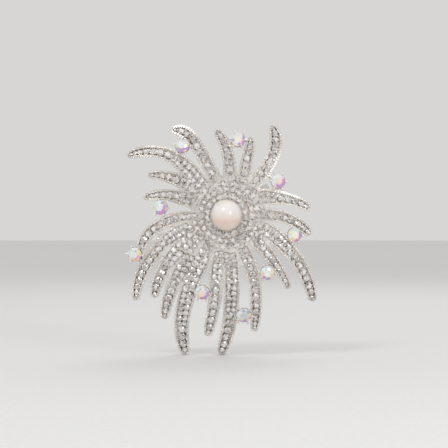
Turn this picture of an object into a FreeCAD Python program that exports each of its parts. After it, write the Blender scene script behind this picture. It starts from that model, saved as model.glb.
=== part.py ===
import FreeCAD, Part
import math
import os

# Starburst brooch: a domed openwork casting with nineteen tapering rays, a half-drilled pearl on
# a peg, nine crystals in six-prong cups, pave stones in a channel, and a bar pin with a safety catch.
#
# Millimetres. The brooch hangs upright as worn: +Z is up, it faces -Y, +X is the viewer's right.
# The origin is the middle of the pin stem, on its axis.
# The casting is drawn from the pearl's axis, the pin mechanism along the pin bar, and both are
# moved into place at the end.

V = FreeCAD.Vector
os.makedirs("parts", exist_ok=True)

# ---------------------------------------------------------------- driving dimensions
SPREAD = 1.0  # multiplies how far rays, notches and crystals stand from the pearl
DOME_R = 80.0  # radius of the dome that every ray lies on
CROWN = 7.6  # the dome's crown ahead of the pin stem's axis
SHELL = 2.0  # thickness of the casting
RIM = 0.55  # plain edge left on both sides of a ray's channel
BED = 1.0  # depth of the channel that the pave stones sit in
PEARL = (1.5, -1.7)  # the pearl's axis from the origin, in X and Z
PEARL_D = 8.0
CRYSTAL_D = 3.9
PAVE_D = 1.9  # largest pave stone
STONE_GAP = 0.08  # metal between two stones
CLEAR = 0.06  # between a stone and the casting

STEM_D = 0.8
STEM_STRAIGHT = 18.0  # length of the stem's parallel wire, with the origin in its middle
HINGE_U = -11.5  # hinge axis along the bar
CATCH_U = 11.2  # middle of the catch along the bar
BAR_TILT = 23.0  # degrees the bar rises to the viewer's right
BAR = (28.0, 0.7, 2.8)  # length, thickness, width
BAR_FRONT = -2.3  # Y of the bar's front face
RUN = 0.05  # radial running clearance in the catch
EYE_RUN = 0.04  # radial running clearance of the stem's eye on its rivet

# Rays, clockwise from the upper left, seen from the front and measured from the pearl's axis:
# four centreline points from the root to the very tip; widths at the root, at the third point
# and at the tip; the notch between this ray and the next.
RAYS = (
    (((-9.4, 11.4), (-16.0, 16.2), (-19.8, 16.9), (-26.3, 15.7)), (4.5, 3.0, 1.6), (-5.6, 10.3)),
    (((-3.7, 11.0), (-7.4, 17.6), (-9.9, 21.1), (-14.3, 22.5)), (3.7, 3.4, 1.7), (-1.2, 10.4)),
    (((1.0, 11.0), (0.7, 14.3), (-0.5, 18.9), (-2.9, 22.5)), (3.7, 3.0, 1.6), (3.0, 11.9)),
    (((4.7, 11.0), (5.5, 14.7), (6.2, 18.0), (6.3, 20.6)), (3.7, 2.7, 1.6), (6.5, 9.8)),
    (((7.8, 9.0), (11.3, 13.9), (13.0, 18.7), (11.9, 23.8)), (3.7, 3.5, 1.7), (9.3, 6.8)),
    (((9.8, 4.7), (13.1, 4.6), (17.6, 3.8), (21.9, 1.7)), (4.5, 3.0, 2.0), (11.3, 2.0)),
    (((11.4, 0.0), (14.7, -0.4), (18.5, -2.1), (22.3, -5.1)), (3.7, 3.1, 2.1), (10.5, -1.6)),
    (((11.9, -4.9), (16.6, -9.3), (20.6, -15.2), (22.9, -22.8)), (4.5, 3.5, 2.1), (11.5, -7.2)),
    (((8.6, -7.3), (11.5, -10.8), (14.4, -15.0), (16.4, -19.4)), (4.1, 2.7, 1.6), (6.8, -8.2)),
    (((4.9, -10.2), (7.2, -16.4), (7.9, -23.0), (7.4, -30.8)), (4.1, 3.2, 1.8), (3.5, -13.4)),
    (((1.3, -13.9), (1.4, -20.9), (0.8, -28.5), (-1.6, -37.0)), (4.5, 3.8, 2.3), (-0.8, -18.6)),
    (((-2.4, -16.0), (-3.0, -22.2), (-3.9, -27.2), (-5.0, -32.0)), (4.1, 3.2, 1.9), (-3.7, -10.3)),
    (((-8.6, -16.0), (-10.9, -23.1), (-11.9, -29.9), (-10.7, -36.9)), (4.9, 3.9, 2.1), (-12.0, -18.6)),
    (((-11.5, -13.9), (-14.2, -19.1), (-15.8, -23.6), (-16.4, -27.5)), (4.5, 3.0, 1.7), (-14.2, -13.8)),
    (((-12.7, -9.4), (-16.6, -14.6), (-18.5, -18.8), (-19.0, -21.8)), (4.9, 2.9, 1.7), (-15.6, -9.9)),
    (((-14.7, -5.9), (-19.1, -10.3), (-22.5, -15.7), (-23.9, -22.6)), (4.1, 3.2, 1.8), (-9.6, -2.1)),
    (((-13.1, -0.8), (-17.0, -2.3), (-20.7, -5.1), (-22.6, -9.1)), (3.3, 3.1, 2.3), (-9.4, 1.9)),
    (((-9.4, 4.1), (-12.7, 4.9), (-16.8, 5.4), (-21.7, 4.4)), (4.5, 2.8, 1.5), (-10.9, 6.6)),
    (((-9.4, 7.8), (-12.3, 9.1), (-16.4, 10.3), (-20.6, 10.6)), (4.5, 2.8, 1.5), (-12.4, 11.3)),
)
LOBE = (-16.6, -6.2, 1.7)  # plain rounded lobe on the shoulder of the sixteenth ray: X, Z, radius

CRYSTALS = (
    (-11.5, 18.1),
    (3.1, 19.7),
    (13.5, 8.8),
    (17.8, -5.1),
    (10.7, -15.0),
    (4.6, -26.2),
    (-6.3, -20.1),
    (-23.9, -10.3),
    (-17.2, 2.0),
)

DOME_CENTRE = DOME_R - CROWN
CUP_FLOOR = 0.2  # metal under the pearl
PEARL_LIFT = PEARL_D / 2 - BED + CUP_FLOOR  # the pearl's centre ahead of the dome's crown
PEG_R = 0.45


def save(name, shape):
    shape.exportStep("parts/" + name + ".step")


def flat(x, z):
    """A point of the plan, seen from the front."""
    return V(x * SPREAD, 0, z * SPREAD)


def surface_y(x, z, depth=0.0):
    """Y of the dome over a point of the plan, depth below its front."""
    radius = DOME_R - depth
    return DOME_CENTRE - math.sqrt(radius * radius - x * x - z * z)


def dome(radius):
    return Part.makeSphere(radius, V(0, DOME_CENTRE, 0))


def box(u, y, w):
    """A block between pairs of values along X, Y and Z."""
    return Part.makeBox(u[1] - u[0], y[1] - y[0], w[1] - w[0], V(u[0], y[0], w[0]))


def rod(radius, start, end):
    return Part.makeCylinder(radius, (end - start).Length, start, end - start)


def largest(shape):
    return max(shape.Solids, key=lambda solid: solid.Volume)


# ---------------------------------------------------------------- plan of the rays
class Ray:
    """A centreline with a width along it."""

    def __init__(self, points, widths, notch):
        self.root_width, self.waist_width, self.tip_width = widths
        stations = [flat(*point) for point in points]
        stations.insert(0, stations[0] * 0.4)
        self.line = Part.BSplineCurve()
        self.line.interpolate(stations)
        self.length = self.line.length()
        self.root = self.distance(stations[1])
        self.waist = self.distance(stations[3])
        self.tip = stations[-1]
        self.notch = flat(*notch)

    def distance(self, point):
        return self.line.length(self.line.FirstParameter, self.line.parameter(point))

    def half_width(self, s):
        if s < self.root:
            return self.root_width / 2
        if s < self.waist:
            t = (s - self.root) / (self.waist - self.root)
            return (self.root_width + (self.waist_width - self.root_width) * t) / 2
        t = (s - self.waist) / (self.length - self.waist)
        return (self.waist_width + (self.tip_width - self.waist_width) * t * t) / 2

    def at(self, s):
        """Centreline point, direction and sideways direction at a distance from the root."""
        u = self.line.parameterAtDistance(s, self.line.FirstParameter)
        along = self.line.tangent(u)[0]
        return self.line.value(u), along, V(along.z, 0, -along.x)

    def end(self, inset):
        """Where the round tip starts, for an outline drawn inset from the edge."""
        last = self.length - self.tip_width / 2
        while self.half_width(last) - inset < self.tip_width / 2 - 0.4 and last > self.root:
            last -= 0.2
        return last

    def face(self, inset=0.0):
        last = self.end(inset)
        steps = 10
        left, right = [], []
        for i in range(steps + 1):
            s = last * i / steps
            centre, along, side = self.at(s)
            half = self.half_width(s) - inset
            left.append(centre - side * half)
            right.append(centre + side * half)
        reach = half if inset else self.length - last
        nose = Part.Arc(left[-1], centre + along * reach, right[-1]).toShape()
        edges = [spline(left), nose, spline(right[::-1]), Part.makeLine(right[0], left[0])]
        return Part.Face(Part.Wire(edges))


def spline(points):
    curve = Part.BSplineCurve()
    curve.interpolate(points)
    return curve.toShape()


def prism(face):
    """A face of the plan drawn out along Y, from well ahead of the dome to well behind it."""
    face.translate(V(0, -20, 0))
    return face.extrude(V(0, 45, 0))


def star(rays, inset=0.0):
    """The burst's plan drawn out along Y: a body through the notches, joined to every ray."""
    notches = []
    for ray in rays:
        length = ray.notch.Length
        notches.append(ray.notch * ((length - 2.0 * inset) / length))
    pieces = [prism(Part.Face(Part.makePolygon(notches + notches[:1])))]
    pieces.extend(prism(ray.face(inset)) for ray in rays)
    if not inset:
        x, z, radius = LOBE
        pieces.append(rod(radius * SPREAD, flat(x, z) - V(0, 20, 0), flat(x, z) + V(0, 25, 0)))
    return largest(pieces[0].multiFuse(pieces[1:]).removeSplitter())


def outline(solid):
    """The outer edge of a prism's front end."""
    ends = [face for face in solid.Faces if face.BoundBox.YLength < 0.001]
    front = max(ends, key=lambda face: face.Area)
    return front.OuterWire


# ---------------------------------------------------------------- casting
def pin_frame(shape):
    """Turns a shape drawn along the bar into the brooch's own frame."""
    shape.rotate(V(0, 0, 0), V(0, 1, 0), -BAR_TILT)
    return shape


def bar_point(u):
    tilt = math.radians(BAR_TILT)
    return V(u * math.cos(tilt) - PEARL[0], 0, u * math.sin(tilt) - PEARL[1])


def blank(rays):
    """The burst before its channel is cut: a slice of the dome."""
    return largest(star(rays).common(dome(DOME_R)).cut(dome(DOME_R - SHELL)))


def casting(solid, inner_star):
    solid = largest(solid.cut(inner_star.cut(dome(DOME_R - BED))))
    post_r = 1.25
    for u in (-8.5, 8.5):
        foot = bar_point(u)
        top = surface_y(foot.x, foot.z, SHELL) - 0.4
        post = rod(post_r, V(foot.x, BAR_FRONT, foot.z), V(foot.x, top, foot.z))
        solid = solid.fuse(post)
    hole = rod(PEG_R + 0.02, V(0, 0, 0), V(0, -CROWN - 1, 0))
    return solid.cut(hole)


# ---------------------------------------------------------------- stones
def brilliant(centre, axis, girdle_r, crown, pavilion, table=0.56, spin=0.0, sides=8):
    """A round-cut stone as flat facets: table, crown and a pointed pavilion."""
    axis = V(axis).normalize()
    right = axis.cross(V(0, 0, 1)).normalize()
    up = right.cross(axis)

    def ring(radius, height):
        points = []
        for i in range(sides):
            a = 2 * math.pi * i / sides + spin
            around = right * (radius * math.cos(a)) + up * (radius * math.sin(a))
            points.append(centre + axis * height + around)
        return points

    girdle = ring(girdle_r, 0)
    top = ring(girdle_r * table, crown)
    culet = centre - axis * pavilion
    faces = [Part.Face(Part.makePolygon(top + top[:1]))]
    for i in range(sides):
        j = (i + 1) % sides
        faces.append(Part.Face(Part.makePolygon([girdle[i], girdle[j], top[j], top[i], girdle[i]])))
        faces.append(Part.Face(Part.makePolygon([girdle[j], girdle[i], culet, girdle[j]])))
    return Part.makeSolid(Part.makeShell(faces))


def pave_stone(x, z, diameter):
    """A pave stone with its girdle just under the dome's front."""
    sink = 0.1
    base = V(x, surface_y(x, z, sink), z)
    axis = base - V(0, DOME_CENTRE, 0)
    crown = 0.17 * diameter
    pavilion = min(0.42 * diameter, BED - sink - CLEAR)
    return brilliant(base, axis, diameter / 2, crown, pavilion, spin=x + z)


class Bed:
    """The channel's plan, and the stones that have been set in it."""

    def __init__(self, edge, cups):
        self.edge = edge.discretize(Distance=0.3)
        self.cups = cups
        self.stones = []

    def inside(self, x, z):
        hit = False
        previous = self.edge[-1]
        for point in self.edge:
            if (point.z > z) != (previous.z > z):
                t = (z - point.z) / (previous.z - point.z)
                if x < point.x + t * (previous.x - point.x):
                    hit = not hit
            previous = point
        return hit

    def room(self, x, z):
        """How large a stone the walls leave around a point."""
        if not self.inside(x, z):
            return 0.0
        nearest = min(math.hypot(point.x - x, point.z - z) for point in self.edge)
        return 2 * (nearest - CLEAR)

    def free(self, x, z, diameter):
        for sx, sz, sd in self.stones:
            if math.hypot(sx - x, sz - z) < (sd + diameter) / 2 + STONE_GAP:
                return False
        for cup in self.cups:
            if math.hypot(cup.x - x, cup.z - z) < CRYSTAL_D / 2 + diameter / 2:
                return False
        return math.hypot(x, z) > PEARL_D * 0.29 + diameter / 2 + CLEAR

    def set(self, x, z, diameter):
        """Sets a stone if there is room for it, and returns whether it did."""
        if self.free(x, z, diameter) and self.room(x, z) >= diameter:
            self.stones.append((x, z, diameter))
            return True
        return False


def ray_rows(bed, ray, ring_r):
    """Stones along a ray, from its tip to the rings round the pearl: one row, or two where wide."""
    smallest = 0.8
    two_rows = 2.75
    placed = len(bed.stones)
    s = ray.end(RIM)
    step = 0.1
    while s > 0:
        centre, along, side = ray.at(s)
        if math.hypot(centre.x, centre.z) < ring_r:
            break
        width = 2 * (ray.half_width(s) - RIM - CLEAR)
        if width > two_rows:
            size = min(PAVE_D, (width - STONE_GAP) / 2)
            spots = (side * ((width - size) / 2), side * ((size - width) / 2))
        else:
            size = min(PAVE_D, width)
            spots = (V(0, 0, 0),)
        if size > smallest:
            for spot in spots:
                bed.set(centre.x + spot.x, centre.z + spot.z, 0.97 * size)
        s -= step
    return bed.stones[placed:]


def rings(bed, first_r, last_r):
    """Rings of equal stones round the pearl."""
    size = 1.62
    placed = len(bed.stones)
    count = int((last_r - first_r) / (size + STONE_GAP)) + 1
    for k in range(count):
        radius = first_r + k * (size + STONE_GAP) * 0.985
        number = int(math.pi / math.asin((size + STONE_GAP + 0.01) / 2 / radius))
        for i in range(number):
            a = 2 * math.pi * (i + 0.5 * (k % 2)) / number
            bed.set(radius * math.cos(a), radius * math.sin(a), size)
    return bed.stones[placed:]


def filler(bed, rays):
    """Smaller stones wherever the body still has room for one."""
    placed = len(bed.stones)
    reach = max(ray.notch.Length for ray in rays) + 2.0
    pitch = 0.38
    n = int(reach / pitch)
    spots = []
    for i in range(-n, n + 1):
        for j in range(-n, n + 1):
            x, z = i * pitch, j * pitch
            if math.hypot(x, z) < reach:
                room = bed.room(x, z)
                if room > 1.0:
                    spots.append((x, z, room))
    for size in (1.62, 1.45, 1.3, 1.15, 1.0):
        for x, z, room in spots:
            if room >= size and bed.free(x, z, size):
                bed.stones.append((x, z, size))
    return bed.stones[placed:]


def stone_group(stones):
    return Part.makeCompound([pave_stone(*stone) for stone in stones])


# ---------------------------------------------------------------- crystals in their cups
LIFT = 0.6  # a crystal's girdle ahead of the dome's front
CROWN_H, PAVILION = 0.62, 1.45  # above and below the girdle


class Seat:
    """Where a crystal stands on the dome."""

    def __init__(self, x, z):
        plan = flat(x, z)
        self.x, self.z = plan.x, plan.z
        front = V(plan.x, surface_y(plan.x, plan.z), plan.z)
        self.axis = (front - V(0, DOME_CENTRE, 0)).normalize()
        self.girdle = front + self.axis * LIFT
        self.right = self.axis.cross(V(0, 0, 1)).normalize()
        self.up = self.right.cross(self.axis)

    def point(self, radius, angle, height):
        a = math.radians(angle)
        around = self.right * (radius * math.cos(a)) + self.up * (radius * math.sin(a))
        return self.girdle + around + self.axis * height


def crystal(seat):
    return brilliant(
        seat.girdle, seat.axis, CRYSTAL_D / 2, CROWN_H, PAVILION, table=0.5, sides=12
    )


def arms(seat, rays):
    """Two short arms, from under the cup into the two nearest rays."""
    here = V(seat.x, 0, seat.z)
    nearest = []
    for ray in rays:
        last = ray.end(0.0)
        steps = 40
        spots = [ray.at(last * i / steps)[0] for i in range(steps + 1)]
        spot = min(spots, key=lambda p: (p - here).Length)
        nearest.append(((spot - here).Length, spot))
    nearest.sort(key=lambda pair: pair[0])
    arm_r = 0.5
    arm_depth = 1.25
    shapes = []
    for length, spot in nearest[:2]:
        start = V(seat.x, surface_y(seat.x, seat.z, arm_depth), seat.z)
        end = V(spot.x, surface_y(spot.x, spot.z, arm_depth), spot.z)
        shapes.append(rod(arm_r, start, end))
    return shapes


def setting(seat, rays, solid):
    """A six-prong cup: a tapered gallery, six prongs with ball ends, and its arms."""
    girdle_r = CRYSTAL_D / 2
    prong_r, ball_r = 0.27, 0.35
    floor, lip, ball_height = -2.35, -0.95, 0.12
    floor_r, ball_ring = 1.2, girdle_r + ball_r + 0.02
    flare = (ball_ring - floor_r) / (ball_height - floor)
    lip_r = floor_r + flare * (lip - floor)
    gallery = Part.makeCone(
        floor_r, lip_r, lip - floor, seat.girdle + seat.axis * floor, seat.axis
    )
    seat_depth = PAVILION + 0.06
    hollow = Part.makeCone(
        0, girdle_r, seat_depth, seat.girdle - seat.axis * seat_depth, seat.axis
    )
    parts = arms(seat, rays)
    for i in range(6):
        angle = 60 * i + 5
        ball = seat.point(ball_ring, angle, ball_height)
        foot_h = floor + 0.15
        foot = seat.point(floor_r + flare * (foot_h - floor), angle, foot_h)
        parts.append(rod(prong_r, foot, ball))
        parts.append(Part.makeSphere(ball_r, ball))
    return largest(gallery.multiFuse(parts).cut(hollow).cut(solid))


# ---------------------------------------------------------------- pearl
def pearl():
    centre = V(0, -CROWN - PEARL_LIFT, 0)
    drill = rod(PEG_R + 0.03, V(0, 0, 0), centre + V(0, -PEARL_D * 0.12, 0))
    return Part.makeSphere(PEARL_D / 2, centre).cut(drill)


def pearl_cup():
    centre = V(0, -CROWN - PEARL_LIFT, 0)
    cup_r = 0.28 * PEARL_D
    rim_y = centre.y + math.sqrt(PEARL_D**2 / 4 - cup_r**2) - 0.2
    cup = rod(cup_r, V(0, surface_y(0, 0, BED) + 0.2, 0), V(0, rim_y, 0)).cut(dome(DOME_R - BED))
    cup = cup.cut(Part.makeSphere(PEARL_D / 2 + 0.02, centre))
    peg = rod(PEG_R, V(0, surface_y(0, 0, SHELL) + 0.3, 0), centre + V(0, -PEARL_D * 0.1, 0))
    return cup.fuse(peg)


# ---------------------------------------------------------------- pin mechanism, drawn along X
BAR_BACK = BAR_FRONT + BAR[1]
EAR_GAP = 1.5  # between the ears
EAR = 0.5  # thickness of an ear
HINGE_EYE_R = 1.0
RIVET_R = 0.4
CATCH_LENGTH = 2.6
BARREL_R = 1.15
HOUSING_R = 1.6
LEVER_ANGLE = -70.0  # from straight back, with the catch open
LEVER_WIDTH = 0.8


def pin_bar():
    length, thickness, width = BAR
    u = (-length / 2, length / 2)
    bar = box(u, (BAR_FRONT, BAR_BACK), (-width / 2, width / 2))
    for side in (-1, 1):
        inner, outer = side * EAR_GAP / 2, side * (EAR_GAP / 2 + EAR)
        w = (min(inner, outer), max(inner, outer))
        ear = box((HINGE_U - 1.3, HINGE_U + 1.3), (BAR_BACK - 0.1, 0), w)
        tip = Part.makeCylinder(1.3, EAR, V(HINGE_U, 0, w[0]), V(0, 0, 1))
        bar = bar.multiFuse([ear, tip])
    hole = Part.makeCylinder(RIVET_R + 0.01, 2 * width, V(HINGE_U, 0, -width), V(0, 0, 1))
    return bar.cut(hole).removeSplitter()


def hinge_rivet():
    half = EAR_GAP / 2 + EAR
    shank = Part.makeCylinder(RIVET_R, 2 * half, V(HINGE_U, 0, -half), V(0, 0, 1))
    heads = []
    for side in (-1, 1):
        start = V(HINGE_U, 0, side * half)
        heads.append(Part.makeCone(0.68, 0.5, 0.3, start, V(0, 0, side)))
    return shank.multiFuse(heads)


def pin_stem():
    eye_w = EAR_GAP - 0.2
    eye = Part.makeCylinder(HINGE_EYE_R, eye_w, V(HINGE_U, 0, -eye_w / 2), V(0, 0, 1))
    wire_r = STEM_D / 2
    tail, head = V(-STEM_STRAIGHT / 2, 0, 0), V(STEM_STRAIGHT / 2, 0, 0)
    slim = V(CATCH_U + CATCH_LENGTH / 2 + 0.2, 0, 0)
    eye_end = V(HINGE_U + 0.7, 0, 0)
    root = Part.makeCone(1.4 * wire_r, wire_r, (tail - eye_end).Length, eye_end, V(1, 0, 0))
    wire = rod(wire_r, tail, head)
    taper = Part.makeCone(wire_r, 0.9 * wire_r, (slim - head).Length, head, V(1, 0, 0))
    point = Part.makeCone(0.9 * wire_r, 0.06, 1.6, slim, V(1, 0, 0))
    hole = Part.makeCylinder(
        RIVET_R + EYE_RUN, 2 * eye_w, V(HINGE_U, 0, -eye_w), V(0, 0, 1)
    )
    return eye.multiFuse([root, wire, taper, point]).cut(hole)


def catch_housing():
    u = (CATCH_U - CATCH_LENGTH / 2, CATCH_U + CATCH_LENGTH / 2)
    tube = rod(HOUSING_R, V(u[0], 0, 0), V(u[1], 0, 0))
    foot = box(u, (BAR_BACK, -0.8), (-1.1, 1.1))
    bore = rod(BARREL_R + RUN, V(u[0] - 1, 0, 0), V(u[1] + 1, 0, 0))
    slot_w = STEM_D / 2 + 0.25
    slot = box((u[0] - 1, u[1] + 1), (0, 3), (-slot_w, slot_w))
    window_w = LEVER_WIDTH / 2 + RUN
    window = box((CATCH_U - window_w, CATCH_U + window_w), (-0.1, 3), (-3, 3))
    return tube.fuse(foot).cut(bore).cut(slot).cut(window)


def lock_barrel():
    u = (CATCH_U - CATCH_LENGTH / 2, CATCH_U + CATCH_LENGTH / 2)
    barrel = rod(BARREL_R, V(u[0], 0, 0), V(u[1], 0, 0))
    bore = rod(STEM_D / 2 + 0.15, V(u[0] - 1, 0, 0), V(u[1] + 1, 0, 0))
    slot_w = STEM_D / 2 + 0.1
    slot = box((u[0] - 1, u[1] + 1), (0, 2), (-slot_w, slot_w))
    half = LEVER_WIDTH / 2
    lever = box((CATCH_U - half, CATCH_U + half), (0.85, 2.5), (-0.3, 0.3))
    knob = rod(0.45, V(CATCH_U - half, 2.6, 0), V(CATCH_U + half, 2.6, 0))
    lever = lever.fuse(knob)
    lever.rotate(V(0, 0, 0), V(1, 0, 0), LEVER_ANGLE)
    return barrel.cut(bore).cut(slot).fuse(lever)


# ---------------------------------------------------------------- assembly
def on_pearl(shape):
    shape.translate(V(PEARL[0], 0, PEARL[1]))
    return shape


rays = [Ray(*ray) for ray in RAYS]
seats = [Seat(*spot) for spot in CRYSTALS]

burst = blank(rays)
inner_star = star(rays, RIM)
save("starburst_casting", on_pearl(casting(burst, inner_star)))
save("pearl", on_pearl(pearl()))
save("pearl_cup", on_pearl(pearl_cup()))

for number, seat in enumerate(seats, 1):
    save("setting_%02d" % number, on_pearl(setting(seat, rays, burst)))
    save("ab_crystal_%02d" % number, on_pearl(crystal(seat)))

bed = Bed(outline(inner_star), seats)
ring_r = 10.2 * SPREAD
inner = rings(bed, PEARL_D * 0.29 + 0.95, PEARL_D * 0.29 + 4.6)
outer = rings(bed, PEARL_D * 0.29 + 0.95 + 3 * 1.675, ring_r - 1.0)
for number, ray in enumerate(rays, 1):
    save("pave_ray_%02d" % number, on_pearl(stone_group(ray_rows(bed, ray, ring_r))))
save("pave_rings_inner", on_pearl(stone_group(inner)))
save("pave_rings_outer", on_pearl(stone_group(outer)))
save("pave_filler", on_pearl(stone_group(filler(bed, rays))))

save("pin_bar", pin_frame(pin_bar()))
save("hinge_rivet", pin_frame(hinge_rivet()))
save("pin_stem", pin_frame(pin_stem()))
save("catch_housing", pin_frame(catch_housing()))
save("lock_barrel", pin_frame(lock_barrel()))
print("stones:", len(bed.stones))
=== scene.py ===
import math
import random

import bmesh
import bpy
import numpy as np
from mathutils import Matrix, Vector


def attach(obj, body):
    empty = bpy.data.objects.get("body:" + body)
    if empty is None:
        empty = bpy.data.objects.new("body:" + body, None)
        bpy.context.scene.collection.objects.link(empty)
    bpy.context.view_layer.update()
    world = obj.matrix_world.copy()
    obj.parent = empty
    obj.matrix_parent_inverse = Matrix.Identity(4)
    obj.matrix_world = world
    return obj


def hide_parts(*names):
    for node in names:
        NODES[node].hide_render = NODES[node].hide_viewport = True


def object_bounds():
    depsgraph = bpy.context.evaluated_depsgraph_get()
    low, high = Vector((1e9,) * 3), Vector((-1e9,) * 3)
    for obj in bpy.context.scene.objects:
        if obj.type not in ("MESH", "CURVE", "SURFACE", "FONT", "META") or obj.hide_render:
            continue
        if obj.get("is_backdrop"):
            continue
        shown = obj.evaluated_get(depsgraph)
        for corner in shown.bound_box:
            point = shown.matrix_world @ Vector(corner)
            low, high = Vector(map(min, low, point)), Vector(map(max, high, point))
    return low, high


# Looks of the starburst brooch. Metres; +Z up, the brooch faces -Y.

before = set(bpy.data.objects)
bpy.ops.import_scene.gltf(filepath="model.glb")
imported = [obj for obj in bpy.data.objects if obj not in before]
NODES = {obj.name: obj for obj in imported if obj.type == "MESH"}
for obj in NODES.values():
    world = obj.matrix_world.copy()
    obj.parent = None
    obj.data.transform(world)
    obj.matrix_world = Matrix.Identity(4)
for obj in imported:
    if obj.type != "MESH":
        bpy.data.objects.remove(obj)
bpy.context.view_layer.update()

MM = 0.001
SEED = 7
rng = random.Random(SEED)

# The dome that the stones follow: its radius, its crown ahead of the pin stem, the pearl's axis.
DOME_R = 80.0 * MM
CROWN = 7.6 * MM
PEARL_X, PEARL_Z = 1.5 * MM, -1.7 * MM
DOME_CENTRE = Vector((PEARL_X, DOME_R - CROWN, PEARL_Z))

BODY = "brooch"


# ---------------------------------------------------------------- materials
def new_material(name):
    material = bpy.data.materials.new(name)
    material.use_nodes = True
    nodes = material.node_tree.nodes
    shader = nodes["Principled BSDF"]
    return material, nodes, material.node_tree.links, shader


def noise(nodes, links, scale, detail=3.0, roughness=0.5):
    coords = nodes.new("ShaderNodeTexCoord")
    texture = nodes.new("ShaderNodeTexNoise")
    texture.inputs["Scale"].default_value = scale
    texture.inputs["Detail"].default_value = detail
    texture.inputs["Roughness"].default_value = roughness
    links.new(coords.outputs["Object"], texture.inputs["Vector"])
    return texture


def ramp(nodes, links, source, stops):
    node = nodes.new("ShaderNodeValToRGB")
    elements = node.color_ramp.elements
    while len(elements) < len(stops):
        elements.new(0.5)
    for element, (place, colour) in zip(elements, stops):
        element.position = place
        element.color = (*colour, 1.0)
    links.new(source, node.inputs["Fac"])
    return node


def span(nodes, links, source, low, high):
    node = nodes.new("ShaderNodeMapRange")
    node.inputs["To Min"].default_value = low
    node.inputs["To Max"].default_value = high
    links.new(source, node.inputs["Value"])
    return node


def bump(nodes, links, shader, source, strength, distance):
    node = nodes.new("ShaderNodeBump")
    node.inputs["Strength"].default_value = strength
    node.inputs["Distance"].default_value = distance
    links.new(source, node.inputs["Height"])
    links.new(node.outputs["Normal"], shader.inputs["Normal"])


def metal(name, light, dark, rough, grain, grain_strength):
    """Plated metal: a slow tarnish in colour and roughness, and a fine cast or drawn grain."""
    material, nodes, links, shader = new_material(name)
    shader.inputs["Metallic"].default_value = 1.0
    slow = noise(nodes, links, 260.0, 4.0)
    colour = ramp(nodes, links, slow.outputs["Fac"], ((0.25, dark), (0.55, light)))
    links.new(colour.outputs["Color"], shader.inputs["Base Color"])
    wear = span(nodes, links, slow.outputs["Fac"], rough[0], rough[1])
    links.new(wear.outputs["Result"], shader.inputs["Roughness"])
    fine = noise(nodes, links, grain, 2.0)
    bump(nodes, links, shader, fine.outputs["Fac"], grain_strength, 0.02 * MM)
    return material


def facet_glass(name, rough, metallic, coat):
    """Foil-backed crystal: each facet has its own colour, painted on the mesh; on the clear stones
    that colour is painted reflection and glint, on the aurora stones it is the coat's colours laid
    out as painted reflection.
    """
    material, nodes, links, shader = new_material(name)
    # The painted facet colour, read from the mesh: painted reflections and glints.
    facet_colour_and_glint = nodes.new("ShaderNodeAttribute")
    facet_colour_and_glint.attribute_name = "facet_colour_and_glint"
    cloud = noise(nodes, links, 900.0, 2.0)
    shade = ramp(nodes, links, cloud.outputs["Fac"], ((0.25, (0.86, 0.85, 0.85)), (0.7, (1, 1, 1))))
    mix = nodes.new("ShaderNodeMix")
    mix.data_type = "RGBA"
    mix.blend_type = "MULTIPLY"
    mix.inputs["Factor"].default_value = 1.0
    links.new(facet_colour_and_glint.outputs["Color"], mix.inputs["A"])
    links.new(shade.outputs["Color"], mix.inputs["B"])
    links.new(mix.outputs["Result"], shader.inputs["Base Color"])
    shader.inputs["Roughness"].default_value = rough
    shader.inputs["Metallic"].default_value = metallic
    shader.inputs["IOR"].default_value = 1.58
    shader.inputs["Coat Weight"].default_value = coat
    shader.inputs["Coat Roughness"].default_value = 0.03
    return material


def pearl_material():
    """Nacre: cream, with a painted rose reflection low on the pearl and paler cream higher up, under
    a clear gloss.
    """
    material, nodes, links, shader = new_material("pearl_nacre")
    coords = nodes.new("ShaderNodeTexCoord")
    parts = nodes.new("ShaderNodeSeparateXYZ")
    links.new(coords.outputs["Generated"], parts.inputs["Vector"])
    # Painted reflection by height: rose and warm colour low on the pearl, pale cream higher up.
    rose_reflection_ramp = ramp(
        nodes,
        links,
        parts.outputs["Z"],
        ((0.05, (0.92, 0.80, 0.68)), (0.3, (0.88, 0.68, 0.58)), (0.48, (0.93, 0.86, 0.80)),
         (0.8, (0.97, 0.95, 0.92)), (0.97, (0.94, 0.87, 0.74))),
    )
    cloud = noise(nodes, links, 420.0, 3.0)
    mottle = ramp(nodes, links, cloud.outputs["Fac"], ((0.3, (0.95, 0.93, 0.93)), (0.7, (1, 1, 1))))
    mix = nodes.new("ShaderNodeMix")
    mix.data_type = "RGBA"
    mix.blend_type = "MULTIPLY"
    mix.inputs["Factor"].default_value = 1.0
    links.new(rose_reflection_ramp.outputs["Color"], mix.inputs["A"])
    links.new(mottle.outputs["Color"], mix.inputs["B"])
    links.new(mix.outputs["Result"], shader.inputs["Base Color"])
    rough = span(nodes, links, cloud.outputs["Fac"], 0.2, 0.3)
    links.new(rough.outputs["Result"], shader.inputs["Roughness"])
    shader.inputs["Coat Weight"].default_value = 0.9
    shader.inputs["Coat Roughness"].default_value = 0.06
    shader.inputs["Sheen Weight"].default_value = 0.25
    bump(nodes, links, shader, cloud.outputs["Fac"], 0.05, 0.02 * MM)
    return material


PLATE = metal("plated_metal", (0.90, 0.86, 0.82), (0.74, 0.69, 0.65), (0.14, 0.3), 2600.0, 0.25)
STEEL = metal("steel_wire", (0.80, 0.80, 0.80), (0.62, 0.62, 0.63), (0.16, 0.28), 4200.0, 0.12)
PAVE = facet_glass("pave_crystal", 0.06, 0.35, 0.6)
AURORA = facet_glass("ab_crystal", 0.04, 0.2, 1.0)
NACRE = pearl_material()


def dress(obj, material):
    obj.data.materials.clear()
    obj.data.materials.append(material)


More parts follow.
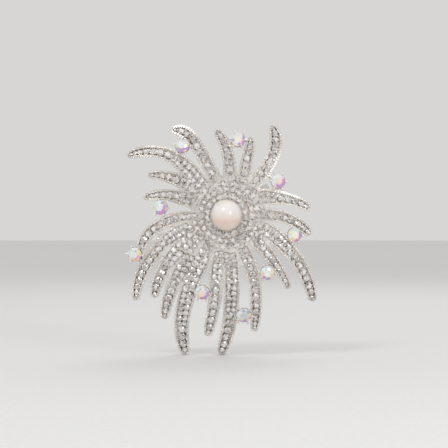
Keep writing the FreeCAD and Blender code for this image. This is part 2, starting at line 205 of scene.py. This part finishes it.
# ---------------------------------------------------------------- meshes
def build(name, points, faces, material, facet_colours_and_glints=None, smooth=False):
    """A piece in the row frame that moves with the brooch's body."""
    mesh = bpy.data.meshes.new(name)
    mesh.from_pydata([tuple(point) for point in points], [], faces)
    if facet_colours_and_glints is not None:
        # Each face's painted colour, its painted reflection and glint, is stored on its corners.
        layer = mesh.color_attributes.new(name="facet_colour_and_glint", type="FLOAT_COLOR", domain="CORNER")
        colours = []
        for face, facet_colour_and_glint in zip(faces, facet_colours_and_glints):
            colours.extend((*facet_colour_and_glint, 1.0) * len(face))
        layer.data.foreach_set("color", colours)
    mesh.polygons.foreach_set("use_smooth", [smooth] * len(mesh.polygons))
    mesh.update()
    obj = bpy.data.objects.new(name, mesh)
    bpy.context.scene.collection.objects.link(obj)
    dress(obj, material)
    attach(obj, BODY)
    return obj


class Heap:
    """Points and faces of many small shapes that make one piece."""

    def __init__(self):
        self.points = []
        self.faces = []
        self.facet_colours_and_glints = []

    def add(self, points, faces, facet_colours_and_glints=()):
        start = len(self.points)
        self.points.extend(points)
        self.faces.extend(tuple(start + i for i in face) for face in faces)
        self.facet_colours_and_glints.extend(facet_colours_and_glints)


class Stone:
    """A stone of the CAD model: its girdle's centre, axis, radius, crown and pavilion."""

    def __init__(self, points):
        points = [Vector(point) for point in points]
        middle = sum(points, Vector()) / len(points)
        axis = (middle - DOME_CENTRE).normalized()
        points.sort(key=lambda p: (p - middle).dot(axis))
        self.culet = points[0]
        sides = (len(points) - 1) // 2
        girdle = points[1 : 1 + sides]
        table = points[1 + sides :]
        self.centre = sum(girdle, Vector()) / sides
        top = sum(table, Vector()) / sides
        self.axis = (top - self.culet).normalized()
        self.radius = sum((p - self.centre).length for p in girdle) / sides
        self.crown = (top - self.centre).length
        self.pavilion = (self.culet - self.centre).length
        self.table = (table[0] - top).length / self.radius
        self.right = self.axis.cross(Vector((0, 0, 1))).normalized()
        self.up = self.right.cross(self.axis)

    def at(self, radius, angle, height):
        around = self.right * (radius * math.cos(angle)) + self.up * (radius * math.sin(angle))
        return self.centre + around + self.axis * height


def islands(obj):
    """The separate solids of a node, each as its list of distinct corners."""
    mesh = obj.data
    world = np.empty(len(mesh.vertices) * 3)
    mesh.vertices.foreach_get("co", world)
    world = world.reshape(-1, 3)
    keys, merged = np.unique(np.round(world, 7), axis=0, return_inverse=True)
    merged = merged.ravel()
    parent = list(range(len(keys)))

    def find(i):
        while parent[i] != i:
            parent[i] = parent[parent[i]]
            i = parent[i]
        return i

    for polygon in mesh.polygons:
        first = find(int(merged[polygon.vertices[0]]))
        for vertex in polygon.vertices[1:]:
            other = find(int(merged[vertex]))
            if other != first:
                parent[other] = first
    groups = {}
    for i in range(len(keys)):
        groups.setdefault(find(i), []).append(keys[i])
    return list(groups.values())


GIRDLE_SIDES = 16


def cut_stone(heap, stone, colour_of, spin):
    """A round brilliant: table, stars, kites, upper girdle facets, girdle and pavilion."""
    r = 0.985 * stone.radius
    table_r = stone.table * stone.radius
    girdle_h = 0.02 * stone.radius
    points = []
    for i in range(8):
        points.append(stone.at(table_r, spin + math.pi * i / 4, stone.crown))
    for i in range(8):
        angle = spin + math.pi * (i + 0.5) / 4
        points.append(stone.at(0.5 * (table_r + r), angle, 0.6 * stone.crown))
    for h in (girdle_h, -girdle_h):
        for i in range(GIRDLE_SIDES):
            points.append(stone.at(r, spin + 2 * math.pi * i / GIRDLE_SIDES, h))
    points.append(stone.centre - stone.axis * (0.97 * stone.pavilion))
    mid, upper, lower, tip = 8, 16, 32, 48
    faces = [(tuple(range(8)), "table")]
    for i in range(8):
        j = (i + 1) % 8
        before = (i - 1) % 8
        faces.append(((i, mid + i, j), "star"))
        faces.append(((i, mid + before, upper + 2 * i, mid + i), "kite"))
        faces.append(((mid + i, upper + 2 * i, upper + 2 * i + 1), "upper"))
        faces.append(((mid + i, upper + 2 * i + 1, upper + (2 * i + 2) % 16), "upper"))
    for i in range(GIRDLE_SIDES):
        j = (i + 1) % GIRDLE_SIDES
        faces.append(((upper + i, lower + i, lower + j, upper + j), "girdle"))
        faces.append(((lower + i, tip, lower + j), "pavilion"))
    # Each facet is painted by colour_of: painted reflections and glints, and on aurora stones also
    # the coat's colours.
    facet_colours_and_glints = []
    for corners, kind in faces:
        centre = sum((points[c] for c in corners), Vector()) / len(corners)
        facet_colours_and_glints.append(colour_of(kind, (centre - stone.centre) / stone.radius))
    heap.add(points, [corners for corners, _ in faces], facet_colours_and_glints)


def clear_glint_colour(kind, _place):
    """Clear foil-backed glass with painted reflections: each facet is painted at a random level,
    bright as a painted glint or dark as a painted dark reflection, with a slight random warmth.
    """
    if kind == "table":
        glint_level = rng.choice((0.66, 0.78, 0.9, 0.97, 0.52))
    else:
        glint_level = rng.choice((1.0, 0.92, 0.82, 0.6, 0.36, 0.1, 0.97))
    warm = rng.uniform(-0.01, 0.07)
    return (min(1.0, glint_level + warm), glint_level, max(0.0, glint_level - 0.4 * warm))


ICE, LEMON, PEACH = (0.93, 0.97, 1.0), (0.98, 0.95, 0.62), (1.0, 0.74, 0.52)
MAGENTA, VIOLET = (0.82, 0.34, 0.66), (0.55, 0.42, 0.82)
MINT, STEELY = (0.74, 0.95, 0.82), (0.35, 0.46, 0.6)
TABLES = (ICE, LEMON, PEACH, LEMON, ICE, STEELY, PEACH, MINT, ICE)


def aurora_colour_and_glint(table):
    """The iridescent coat's own colours, laid out by facet direction as painted reflection: ice
    above, peach and magenta towards the lower right; the table gets its listed coat colour, paled
    halfway to white.
    """
    # Painted reflection: facets facing the lower right pick peach, magenta and violet, facets facing
    # the other way icy white.
    lean = Vector((0.62, 0.0, -0.78))

    def colour(kind, place):
        if kind == "table":
            return tuple(0.5 + 0.5 * c for c in table)
        towards = place.dot(lean) + rng.uniform(-0.35, 0.35)
        if towards < -0.3:
            choice = rng.choice((ICE, ICE, (0.86, 0.9, 0.95), MINT))
        elif towards < 0.15:
            choice = rng.choice((ICE, LEMON, (0.9, 0.88, 0.9), PEACH, (0.5, 0.55, 0.62)))
        elif towards < 0.5:
            choice = rng.choice((PEACH, LEMON, MAGENTA, (0.95, 0.85, 0.9)))
        else:
            choice = rng.choice((MAGENTA, VIOLET, PEACH, VIOLET))
        return choice

    return colour


# ---------------------------------------------------------------- stones
def recut(name, material, facet_colour_and_glint):
    """Recuts every stone of a node, in one piece that stands for the node."""
    heap = Heap()
    cut = [Stone(corners) for corners in islands(NODES[name])]
    for stone in cut:
        cut_stone(heap, stone, facet_colour_and_glint, rng.uniform(0, math.pi / 4))
    piece = build(name + "_cut", heap.points, heap.faces, material, heap.facet_colours_and_glints)
    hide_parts(name)
    return cut


def nodes_called(start):
    return [name for name in sorted(NODES) if name.startswith(start)]


stones = []
for name in nodes_called("pave"):
    stones.extend(recut(name, PAVE, clear_glint_colour))

crystals = []
for name, table in zip(nodes_called("ab_crystal"), TABLES):
    crystals.extend(recut(name, AURORA, aurora_colour_and_glint(table)))


# ---------------------------------------------------------------- seats and beads between stones
SEAT_WALL = 0.075 * MM
SEAT_DEPTH = 0.42 * MM


def seat(heap, stone):
    """The drilled seat's thin wall round a stone, with its lip just over the girdle."""
    sides = 16
    inner, outer = stone.radius * 0.985, stone.radius + SEAT_WALL
    rows = ((outer, -SEAT_DEPTH), (outer, -0.02 * MM), (inner, 0.05 * MM), (inner, -0.1 * MM))
    points = []
    for radius, height in rows:
        for i in range(sides):
            points.append(stone.at(radius, 2 * math.pi * i / sides, height))
    faces = []
    for k in range(len(rows) - 1):
        for i in range(sides):
            j = (i + 1) % sides
            faces.append((k * sides + i, k * sides + j, (k + 1) * sides + j, (k + 1) * sides + i))
    heap.add(points, faces)


def blob(heap, centre, axis, radius, height):
    """A small raised bead: a dome on a short shank, turned about its axis."""
    side = axis.orthogonal().normalized()
    other = axis.cross(side)
    rows = ((1.0, -1.6), (1.0, 0.0), (0.8, 0.6), (0.42, 0.92))
    sides = 8
    points = []
    for scale, lift in rows:
        for i in range(sides):
            a = 2 * math.pi * i / sides
            around = side * math.cos(a) + other * math.sin(a)
            points.append(centre + around * (radius * scale) + axis * (height * lift))
    points.append(centre + axis * height)
    faces = []
    for k in range(len(rows) - 1):
        for i in range(sides):
            j = (i + 1) % sides
            faces.append((k * sides + i, k * sides + j, (k + 1) * sides + j, (k + 1) * sides + i))
    last = (len(rows) - 1) * sides
    for i in range(sides):
        faces.append((last + i, last + (i + 1) % sides, len(points) - 1))
    heap.add(points, faces)


BEAD_R = 0.17 * MM
BEAD_HEIGHT = 0.2 * MM
BEAD_REACH = 0.4 * MM  # widest gap between two stones that still gets beads
BEAD_OVERLAP = 0.05 * MM  # how far a bead's centre may stand over a stone


def bead_spots(stones):
    """Places beside the narrowest point between neighbouring stones, with the way out."""
    centres = np.array([stone.centre for stone in stones])
    radii = np.array([stone.radius for stone in stones])
    spots = []
    for i, a in enumerate(stones):
        away = np.linalg.norm(centres - centres[i], axis=1)
        for j in np.nonzero(away < radii + a.radius + BEAD_REACH)[0]:
            if j <= i:
                continue
            b = stones[j]
            between = (b.centre - a.centre).normalized()
            contact = a.centre + between * ((away[j] + a.radius - b.radius) / 2)
            across = a.axis.cross(between).normalized()
            for sign in (-1, 1):
                spot = contact + across * (sign * 0.52 * min(a.radius, b.radius))
                gaps = np.linalg.norm(centres - np.array(spot), axis=1) - radii
                if gaps.min() < -BEAD_OVERLAP:
                    continue
                if any((spot - other).length < 1.7 * BEAD_R for other, _ in spots):
                    continue
                spots.append((spot, a.axis))
    return spots


seats = Heap()
for stone in stones:
    seat(seats, stone)
build("pave_seats", seats.points, seats.faces, PLATE)

beads = Heap()
for spot, axis in bead_spots(stones):
    blob(beads, spot + axis * 0.02 * MM, axis, BEAD_R, BEAD_HEIGHT)
build("pave_beads", beads.points, beads.faces, PLATE, smooth=True)


# ---------------------------------------------------------------- claws along the rays' edges
def rim_edges(obj):
    """The outer front edges of the casting, as pairs of points with the wall's outward direction."""
    mesh = bmesh.new()
    mesh.from_mesh(obj.data)
    bmesh.ops.remove_doubles(mesh, verts=mesh.verts, dist=1e-7)
    mesh.normal_update()
    found = []
    for edge in mesh.edges:
        if len(edge.link_faces) != 2:
            continue
        faces = sorted(edge.link_faces, key=lambda f: f.normal.y)
        front, wall = faces
        if front.normal.y > -0.8 or abs(wall.normal.y) > 0.3:
            continue
        a, b = (vert.co.copy() for vert in edge.verts)
        found.append((a, b, wall.normal.copy()))
    mesh.free()
    return found


def outer_only(obj, edges):
    """Drops the channel's own edges: behind those there is the channel's floor."""
    kept = []
    for a, b, out in edges:
        probe = (a + b) / 2 + out * 0.25 * MM - Vector((0, 1 * MM, 0))
        hit, place, _, _ = obj.ray_cast(probe, Vector((0, 1, 0)), distance=3.5 * MM)
        if not hit:
            kept.append((a, b, out))
    return kept


def chains(edges, pitch):
    """Points at an even pitch along the joined-up edges, each with its outward direction."""

    def key(point):
        return tuple(round(c * 1e6) for c in point)

    meets = {}
    for index, (a, b, _) in enumerate(edges):
        meets.setdefault(key(a), []).append(index)
        meets.setdefault(key(b), []).append(index)
    used = set()
    spots = []
    for start in range(len(edges)):
        if start in used:
            continue
        used.add(start)
        a, b, out = edges[start]
        path = [(a, b, out)]
        while True:
            nexts = [i for i in meets[key(path[-1][1])] if i not in used]
            if not nexts:
                break
            used.add(nexts[0])
            c, d, out = edges[nexts[0]]
            if key(c) != key(path[-1][1]):
                c, d = d, c
            path.append((c, d, out))
        carry = pitch / 2
        for c, d, out in path:
            length = (d - c).length
            while carry <= length:
                spots.append((c + (d - c) * (carry / length), (d - c).normalized(), out))
                carry += pitch
            carry -= length
    return spots


CLAW_PITCH = 0.74 * MM
CLAW_WIDTH = 0.17 * MM
CLAW_PATH = (  # inward from the edge, outward from the dome (both in mm), share of the width
    (0.05, -0.75, 0.7),
    (0.05, -0.1, 1.0),
    (0.10, 0.08, 1.05),
    (0.3, 0.17, 1.0),
    (0.58, 0.13, 0.85),
    (0.74, 0.02, 0.5),
)


def claw(heap, spot, along, out):
    """One claw: it rises on the ray's side, bends over the edge and ends on the stone."""
    axis = (spot - DOME_CENTRE).normalized()
    inward = -(out - axis * out.dot(axis)).normalized()
    sides = 6
    last = len(CLAW_PATH) - 1
    points = []
    for k, (step, lift, scale) in enumerate(CLAW_PATH):
        here = spot + inward * (step * MM) + axis * (lift * MM)
        before, after = CLAW_PATH[max(k - 1, 0)], CLAW_PATH[min(k + 1, last)]
        run = inward * (after[0] - before[0]) + axis * (after[1] - before[1])
        normal = run.cross(along).normalized()
        for i in range(sides):
            a = 2 * math.pi * i / sides
            ring = along * math.cos(a) + normal * (0.55 * math.sin(a))
            points.append(here + ring * (CLAW_WIDTH * scale))
    faces = [tuple(range(sides))[::-1]]
    for k in range(last):
        for i in range(sides):
            j = (i + 1) % sides
            faces.append((k * sides + i, k * sides + j, (k + 1) * sides + j, (k + 1) * sides + i))
    faces.append(tuple(range(last * sides, (last + 1) * sides)))
    heap.add(points, faces)


burst = NODES["starburst_casting"]
rim = outer_only(burst, rim_edges(burst))
claws = Heap()
for spot, along, out in chains(rim, CLAW_PITCH):
    claw(claws, spot, along, out)
build("ray_claws", claws.points, claws.faces, PLATE, smooth=True)


# ---------------------------------------------------------------- prong tips over each crystal
PRONGS = 6
PRONG_TURN = 5  # degrees from the stone's right-hand side to its first prong
TIP_R, TIP_HEIGHT = 0.24 * MM, 0.3 * MM

tips = Heap()
for stone in crystals:
    for i in range(PRONGS):
        angle = math.radians(360 / PRONGS * i + PRONG_TURN)
        foot = stone.at(stone.radius * 1.03, angle, 0.12 * MM)
        lean = (stone.centre - foot).normalized()
        axis = (stone.axis + lean * 0.5).normalized()
        blob(tips, foot, axis, TIP_R, TIP_HEIGHT)
build("crystal_prong_tips", tips.points, tips.faces, PLATE, smooth=True)


# ---------------------------------------------------------------- CAD nodes that stay
for name, obj in NODES.items():
    if name.startswith(("pave", "ab_crystal")):
        continue
    if name == "pearl":
        dress(obj, NACRE)
        obj.data.polygons.foreach_set("use_smooth", [True] * len(obj.data.polygons))
    elif name in ("pin_stem", "hinge_rivet"):
        dress(obj, STEEL)
    else:
        dress(obj, PLATE)


# ---------------------------------------------------------------- stage, light and camera
def stage():
    low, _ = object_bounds()
    size = 3.0  # half the floor's width
    mesh = bpy.data.meshes.new("floor")
    z = low[2] - 0.05 * MM
    corners = [(-size, -size, z), (size, -size, z), (size, size, z), (-size, size, z)]
    mesh.from_pydata(corners, [], [(0, 1, 2, 3)])
    floor = bpy.data.objects.new("floor", mesh)
    bpy.context.scene.collection.objects.link(floor)
    material, nodes, links, shader = new_material("floor_paper")
    fibre = noise(nodes, links, 900.0, 3.0)
    paper = ramp(
        nodes, links, fibre.outputs["Fac"], ((0.3, (0.80, 0.80, 0.80)), (0.7, (0.84, 0.84, 0.84)))
    )
    links.new(paper.outputs["Color"], shader.inputs["Base Color"])
    shader.inputs["Roughness"].default_value = 0.8
    dress(floor, material)
    floor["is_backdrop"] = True


def lamp(name, place, target, size, power):
    light = bpy.data.lights.new(name, "AREA")
    light.shape = "SQUARE"
    light.size = size
    light.energy = power
    obj = bpy.data.objects.new(name, light)
    obj.location = place
    obj.rotation_euler = (Vector(target) - Vector(place)).to_track_quat("-Z", "Y").to_euler()
    bpy.context.scene.collection.objects.link(obj)


def light_and_camera():
    world = bpy.data.worlds.new("studio")
    bpy.context.scene.world = world
    world.use_nodes = True
    background = world.node_tree.nodes["Background"]
    background.inputs["Color"].default_value = (1.0, 0.99, 0.98, 1.0)
    background.inputs["Strength"].default_value = 0.68
    aim = (PEARL_X, 0, PEARL_Z)
    lamp("key", (-0.22, -0.38, 0.42), aim, size=0.12, power=0.62)
    lamp("spark", (0.20, -0.34, 0.12), aim, size=0.05, power=0.2)
    lamp("back", (0.10, 0.35, 0.35), aim, size=0.25, power=0.3)

    scene = bpy.context.scene
    scene.view_settings.view_transform = "Standard"
    camera = bpy.data.cameras.new("camera")
    reach = 0.42  # from the lens to the brooch
    field = 0.1156  # width seen at that distance
    camera.sensor_width = 36.0
    camera.lens = camera.sensor_width * reach / field
    camera.clip_start = 0.01
    eye = bpy.data.objects.new("camera", camera)
    eye.location = (PEARL_X - 0.6 * MM, -reach - 12 * MM, PEARL_Z - 2.3 * MM)
    eye.rotation_euler = (math.pi / 2, 0, 0)
    scene.collection.objects.link(eye)
    scene.camera = eye


stage()
light_and_camera()
